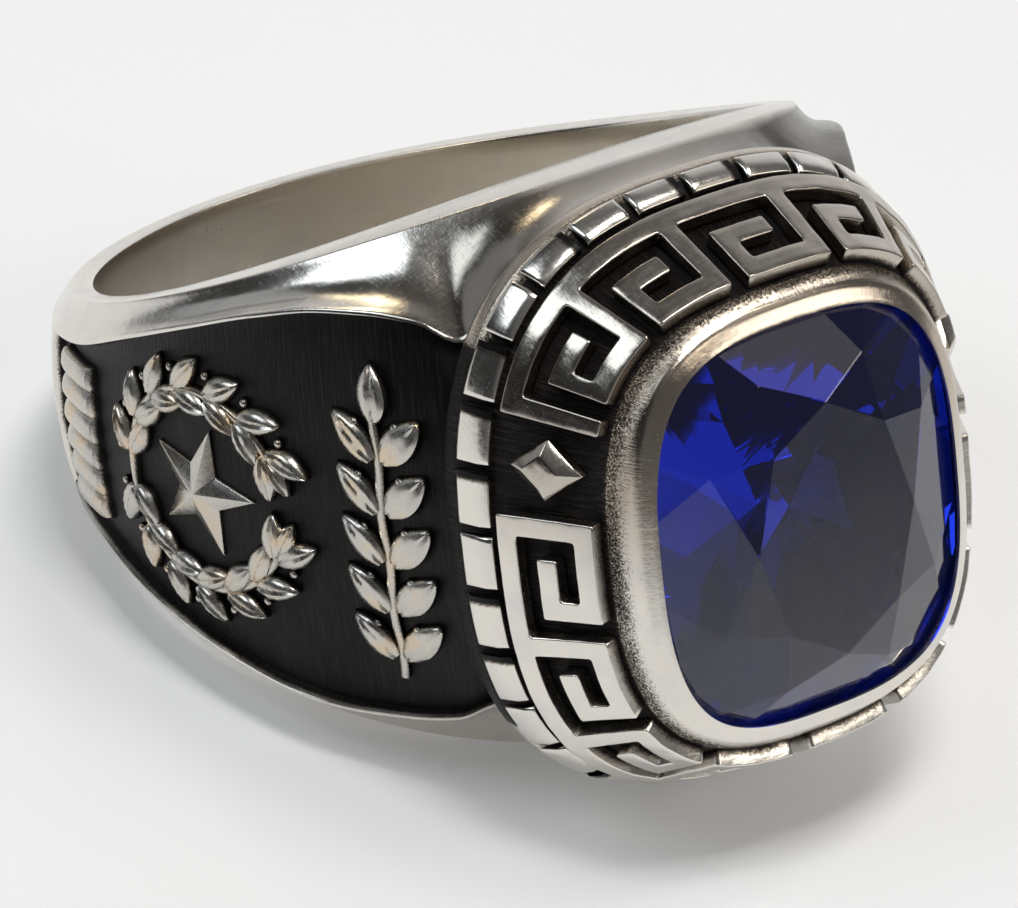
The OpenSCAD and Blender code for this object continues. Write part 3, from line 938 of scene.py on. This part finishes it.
class Graph:
    """A node tree. A node's input takes a number, a vector, a node or a (node, output) pair."""

    def __init__(self, tree):
        self.tree = tree
        self.place = self.add("ShaderNodeTexCoord")

    def add(self, kind, values=None, **settings):
        node = self.tree.nodes.new(kind)
        for name, value in settings.items():
            setattr(node, name, value)
        self.feed(node, values or {})
        return node

    def feed(self, node, values):
        """Sets or joins the inputs of a node."""
        for socket, value in values.items():
            if isinstance(value, bpy.types.Node):
                value = (value, 0)
            if isinstance(value, tuple) and isinstance(value[0], bpy.types.Node):
                self.tree.links.new(value[0].outputs[value[1]], node.inputs[socket])
            else:
                node.inputs[socket].default_value = value

    def lay(self, source, scale, turn=(0, 0, 0)):
        """Coordinates from Object or UV, scaled and turned."""
        values = {"Vector": (self.place, source), "Scale": scale, "Rotation": turn}
        return self.add("ShaderNodeMapping", values)

    def noise(self, place, scale, detail, rough):
        values = {"Vector": place, "Scale": scale, "Detail": detail, "Roughness": rough}
        return self.add("ShaderNodeTexNoise", values)

    def math(self, kind, a, b, clamped=False):
        return self.add("ShaderNodeMath", {0: a, 1: b}, operation=kind, use_clamp=clamped)

    def vector_math(self, kind, a, b):
        second = "Scale" if kind == "SCALE" else 1
        return self.add("ShaderNodeVectorMath", {0: a, second: b}, operation=kind)

    def along(self, source, way):
        """How far a place lies along a way."""
        return self.vector_math("DOT_PRODUCT", (self.place, source), way), "Value"

    def shift(self, value, start, full, ends=(0.0, 1.0), **settings):
        """A value that goes from one end to the other as another one runs from start to full."""
        values = {"Value": value, "From Min": start, "From Max": full, "To Min": ends[0], "To Max": ends[1]}
        return self.add("ShaderNodeMapRange", values, **settings)

    def ramp(self, value, stops):
        """Colours by a value. A stop is a position and a grey or a colour."""
        node = self.add("ShaderNodeValToRGB", {"Fac": value})
        while len(node.color_ramp.elements) < len(stops):
            node.color_ramp.elements.new(0.5)
        for element, (position, colour) in zip(node.color_ramp.elements, stops):
            element.position = position
            element.color = (*colour, 1) if isinstance(colour, tuple) else (colour, colour, colour, 1)
        return node

    def bump(self, height, strength, distance, under=None):
        """A bump, laid over another one if there is one."""
        values = {"Height": height, "Strength": strength, "Distance": distance}
        if under is not None:
            values["Normal"] = under
        return self.add("ShaderNodeBump", values)


class MaterialGraph(Graph):
    """The node tree of a new material, with its shader and its output."""

    def __init__(self, name):
        self.material = bpy.data.materials.new(name)
        self.material.use_nodes = True
        self.material.node_tree.nodes.clear()
        super().__init__(self.material.node_tree)
        self.shader = self.add("ShaderNodeBsdfPrincipled")
        self.out = self.add("ShaderNodeOutputMaterial", {"Surface": self.shader})


def silver_material(name, finish, striations=0.0, polish=0.17, base=None, frost=0.5, warm=WARM_WHITE,
                    veils=()):
    """Worn silver: polished where it stands proud, black in the recesses, fine scratches all over.

    A veil is painted shade that darkens and tints the silver further along a way in the scene: the way, where
    it starts and is full, its tint. It leaves out the places whose tarnish is below 0, which are rubbed bare.
    """
    g = MaterialGraph(name)
    near = g.lay("Object", (1, 1, 1))
    depth = (g.add("ShaderNodeAttribute", attribute_name="tarnish"), "Fac")
    speckle = g.noise(near, scale=15000, detail=3, rough=0.8)
    cloud = g.noise(near, scale=900, detail=3, rough=0.55)
    # How tarnished a place is: the recess, broken up by a speckle and a slow cloud
    grain = g.math("MULTIPLY", g.math("SUBTRACT", speckle, 0.5), frost)
    drift = g.math("MULTIPLY", g.math("SUBTRACT", cloud, 0.5), 0.3)
    amount = g.math("ADD", depth, g.math("ADD", grain, drift))
    black = g.ramp(amount, ((0.36, 0.0), (0.60, 1.0)))
    tones = g.ramp(amount, (
        (0.26, tuple(base or finish.silver)),
        (0.44, tuple(finish.brown)),
        (0.56, tuple(finish.tarnish)),
    ))
    tint = g.ramp(cloud, ((0.36, warm), (0.48, WARM_WHITE), (0.70, COOL_WHITE)))
    colour = g.vector_math("MULTIPLY", tones, tint)
    # Painted shade: each veil darkens and tints the silver towards one side of the scene
    for way, start, full, shade in veils:
        kept = g.shift(depth, -0.1, 0.0)
        shaded_share = g.math("MULTIPLY", g.shift(g.along("Object", way), start, full), kept)
        colour = g.vector_math("MULTIPLY", colour, g.ramp(shaded_share, ((0.0, WHITE), (1.0, shade))))
    metal = g.math("SUBTRACT", 1.0, g.math("MULTIPLY", black, 0.55))
    # Scratches: noise drawn out into long thin lines, in two directions
    lines_a = g.noise(g.lay("Object", (1, 14, 5), (0.3, 0.5, 0.7)), scale=1600, detail=2, rough=0.6)
    lines_b = g.noise(g.lay("Object", (11, 1, 6), (0.9, -0.4, 0.2)), scale=1900, detail=2, rough=0.6)
    lines = g.math("MULTIPLY", lines_a, lines_b)
    rough = g.math("ADD", g.math("MULTIPLY", lines, 0.35), g.math("MULTIPLY", cloud, 0.12))
    rough = g.math("ADD", rough, polish - 0.12)
    rough = g.math("ADD", rough, g.math("MULTIPLY", black, 0.2), clamped=True)
    normal = g.bump(lines, 0.12, 0.00003)
    normal = g.bump(cloud, 0.25, 0.00006, normal)
    normal = g.bump(g.math("MULTIPLY", speckle, depth), 0.3, 0.00001, normal)
    if striations:
        grooves = g.noise(g.lay("UV", (9, 0.5, 1)), scale=1.6, detail=4, rough=0.65)
        rust = g.ramp(grooves, ((0.48, 0.0), (0.66, RUST)))
        stain = g.vector_math("SCALE", rust, g.math("MULTIPLY", black, striations))
        colour = g.vector_math("ADD", colour, stain)
        normal = g.bump(g.math("MULTIPLY", grooves, depth), striations, 0.00012, normal)
    g.feed(g.shader, {
        "Base Color": colour,
        "Metallic": metal,
        "Roughness": rough,
        "Specular IOR Level": 0.25,
        "Normal": normal,
    })
    return g.material


def stone_material(finish):
    """Clear deep blue stone: sharp facets, high refraction, colour that deepens with the way through it."""
    g = MaterialGraph("blue_stone")
    g.feed(g.shader, {
        "Base Color": (0.55, 0.62, 1.0, 1),
        "IOR": 1.76,
        "Transmission Weight": 1.0,
        "Roughness": 0.0,
        # Painted light: the stone glows a faint blue by itself, though it is no lamp
        "Emission Color": (0.05, 0.15, 1.0, 1),
        "Emission Strength": 0.006,
    })
    body = g.add("ShaderNodeVolumeAbsorption", {"Color": (*finish.stone, 1), "Density": finish.stone_depth})
    g.feed(g.out, {"Volume": body})
    return g.material


def table_material(finish):
    """Pale smooth table top with a faint unevenness, and painted shade that darkens it far in front of the
    ring.
    """
    g = MaterialGraph("table_top")
    cloud = g.noise(g.lay("Object", (1, 1, 1)), scale=30, detail=3, rough=0.5)
    base = Vector(finish.table)
    pale = g.ramp(cloud, ((0.3, tuple(base * 0.985)), (0.7, tuple(base))))
    # Painted shade: the table's colour falls off far in front of the ring, standing in for light that fades
    # there
    painted_falloff = g.shift(g.along("Object", direction(48, 0)), 0.035, 0.10, (1.0, 0.35))
    colour = g.vector_math("SCALE", pale, painted_falloff)
    g.feed(g.shader, {
        "Base Color": colour,
        "Emission Color": colour,
        # Painted light: the table's glow lifts its shadows, though it is no lamp
        "Emission Strength": finish.table_painted_glow,
        "Roughness": g.ramp(cloud, ((0.3, 0.5), (0.7, 0.6))),
    })
    return g.material


def silver(context, name, **looks):
    """The silver of that name, made on its first use."""
    return bpy.data.materials.get(name) or silver_material(name, context.scene.ring_finish, **looks)


def ring_of(context):
    return RingShape(context.scene.ring_sizes)


def light_world(scene):
    """A dim room with a pale backdrop behind the ring, as seen by the camera."""
    world = bpy.data.worlds.new("studio")
    world.use_nodes = True
    g = Graph(world.node_tree)
    parts = g.add("ShaderNodeSeparateXYZ", {0: (g.place, "Generated")})
    room = g.ramp((parts, "Z"), tuple((z, (grey, grey, grey * 1.02)) for z, grey in ROOM))

    def soft_edge(way, start, full, ends):
        """A value that changes softly as the direction turns towards a way, by two cosines."""
        return g.shift(g.along("Generated", way), start, full, ends, interpolation_type="SMOOTHSTEP")

    glow = soft_edge(direction(180, 10), 0.68, 0.94, (1.0, 6.0))
    narrow = soft_edge(direction(90, 0), -0.55, -0.25, (0.2, 1.0))
    g.feed(world.node_tree.nodes["Background"], {"Color": room, "Strength": g.math("MULTIPLY", glow, narrow)})
    scene.world = world


def softbox(scene, name, bearing, height, width, length, glow, colour):
    """A rectangular softbox that looks as bright as its glow, whatever its size."""
    light = bpy.data.lights.new(name, "AREA")
    light.shape = "RECTANGLE"
    light.size = width
    light.size_y = length
    light.energy = glow * math.pi * width * length
    light.color = colour
    lamp = bpy.data.objects.new(name, light)
    way = direction(bearing, height)
    lamp.location = Vector(LIT_PLACE) + way * LIGHT_DISTANCE
    lamp.rotation_euler = (-way).to_track_quat("-Z", "Y").to_euler()
    scene.collection.objects.link(lamp)


def aim_camera(scene):
    """The photograph's camera."""
    data = bpy.data.cameras.new("camera")
    data.lens = CAMERA_LENS
    data.sensor_width = 36
    data.clip_start = 0.01
    data.clip_end = 10
    camera = bpy.data.objects.new("camera", data)
    back = direction(0, CAMERA_HEIGHT)
    roll = Matrix.Rotation(math.radians(CAMERA_TILT), 4, "Z")
    turn = (-back).to_track_quat("-Z", "Y").to_matrix().to_4x4() @ roll
    place = Vector(CAMERA_TARGET) * MM + back * CAMERA_DISTANCE * MM
    camera.matrix_world = Matrix.Translation(place) @ turn
    scene.collection.objects.link(camera)
    bpy.context.scene.camera = camera


class RING_OT_stage(bpy.types.Operator):
    """Add the table, the lights and the camera"""

    bl_idname = "ring.stage"
    bl_label = "Stage"

    def execute(self, context):
        scene = context.scene
        bm = bmesh.new()
        bmesh.ops.create_grid(bm, x_segments=1, y_segments=1, size=TABLE_HALF)
        bmesh.ops.translate(bm, verts=bm.verts, vec=(0, TABLE_HALF - TABLE_FRONT, 0))
        turn = Matrix.Rotation(math.radians(CAMERA_BEARING), 3, "Z")
        bmesh.ops.rotate(bm, verts=bm.verts, matrix=turn)
        finish = bpy.data.materials.get("table_top") or table_material(scene.ring_finish)
        top = new_object("table_top", bm, finish)
        light_world(scene)
        scene.view_settings.view_transform = "Standard"
        for row in LIGHTS:
            softbox(scene, *row)
        aim_camera(scene)
        return {"FINISHED"}


class RING_OT_band(bpy.types.Operator):
    """Build the band with its finger hole and sunk shoulder panels"""

    bl_idname = "ring.band"
    bl_label = "Band"

    def execute(self, context):
        # Painted shade: the band's silver darkens towards the head and, more, towards the far shoulder on the
        # camera's right
        band_shades = (
            (Vector((0.35, -1, 0)), 0.0003, 0.0013, (0.50, 0.48, 0.46)),
            (direction(90, 0), 0.0031, 0.0064, (0.36, 0.36, 0.36)),
        )
        # Painted shadow: the finger hole's wall darkens towards the camera's left
        shade = (direction(-90, 0), 0.003, 0.012, (0.54, 0.54, 0.58))
        satin = context.scene.ring_finish.inside
        worn = silver(context, "band_silver", striations=0.3, polish=0.18, veils=band_shades)
        inside = silver(context, "inside_silver", polish=0.3, base=satin, veils=(shade,))
        build_band(ring_of(context), worn, inside)
        return {"FINISHED"}


class RING_OT_head(bpy.types.Operator):
    """Build the head with its collar, channel and bezel"""

    bl_idname = "ring.head"
    bl_label = "Head"

    def execute(self, context):
        # Painted shade: the head's silver darkens and browns towards the top, as the ring lies, dimming the
        # lamps' reflections there
        top_shade = (direction(0, 90), 0.0095, 0.0125, (0.70, 0.64, 0.58))
        build_head(ring_of(context), silver(context, "head_silver", striations=0.9, frost=1.3, veils=(top_shade,)))
        return {"FINISHED"}


class RING_OT_border(bpy.types.Operator):
    """Build the blocks of the border"""

    bl_idname = "ring.border"
    bl_label = "Border"

    def execute(self, context):
        build_border(ring_of(context), silver(context, "raised_silver"))
        return {"FINISHED"}


class RING_OT_key(bpy.types.Operator):
    """Build the key ornament and its lozenges"""

    bl_idname = "ring.key"
    bl_label = "Key ornament"

    def execute(self, context):
        # Painted shade: the key ornament's silver darkens towards the top, as the ring lies, dimming the
        # lamps' reflections there
        top_shade = (direction(0, 90), 0.0095, 0.0125, (0.68, 0.65, 0.62))
        worn = silver(context, "key_silver", veils=(top_shade,))
        build_key(ring_of(context), worn)
        build_lozenges(ring_of(context), worn)
        return {"FINISHED"}


class RING_OT_relief(bpy.types.Operator):
    """Build the relief on both shoulders"""

    bl_idname = "ring.relief"
    bl_label = "Shoulder relief"

    def execute(self, context):
        dull = context.scene.ring_finish.relief
        # Partly painted light: the relief's warm patches differ at random, and their gold, brighter than the
        # silver, stands in for warm glints
        worn = silver(context, "relief_silver", polish=0.24, base=dull, warm=(1.10, 0.95, 0.78))
        shape = ring_of(context)
        for side in (-1, 1):
            for build in (build_wreath, build_star, build_sprig, build_bar):
                build(shape, side, worn)
        return {"FINISHED"}


class RING_OT_stone(bpy.types.Operator):
    """Build the cut stone"""

    bl_idname = "ring.stone"
    bl_label = "Stone"

    def execute(self, context):
        blue = bpy.data.materials.get("blue_stone") or stone_material(context.scene.ring_finish)
        build_stone(ring_of(context), blue)
        return {"FINISHED"}


STEPS = (
    RING_OT_stage, RING_OT_band, RING_OT_head, RING_OT_border, RING_OT_key, RING_OT_relief, RING_OT_stone,
)


class RING_PT_panel(bpy.types.Panel):
    """Sizes and steps of the ring"""

    bl_idname = "RING_PT_panel"
    bl_label = "Ring"
    bl_space_type = "VIEW_3D"
    bl_region_type = "UI"
    bl_category = "Ring"

    def draw(self, context):
        for group in (context.scene.ring_sizes, context.scene.ring_finish):
            for name in group.__annotations__:
                self.layout.prop(group, name)
        for step in STEPS:
            self.layout.operator(step.bl_idname)


CLASSES = (RingSizes, RingFinish, *STEPS, RING_PT_panel)


def register():
    for cls in CLASSES:
        bpy.utils.register_class(cls)
    bpy.types.Scene.ring_sizes = bpy.props.PointerProperty(type=RingSizes)
    bpy.types.Scene.ring_finish = bpy.props.PointerProperty(type=RingFinish)


def unregister():
    del bpy.types.Scene.ring_finish
    del bpy.types.Scene.ring_sizes
    for cls in reversed(CLASSES):
        bpy.utils.unregister_class(cls)


def main():
    register()
    for step in STEPS:
        group, name = step.bl_idname.split(".")
        getattr(getattr(bpy.ops, group), name)()


if __name__ == "__main__":
    main()
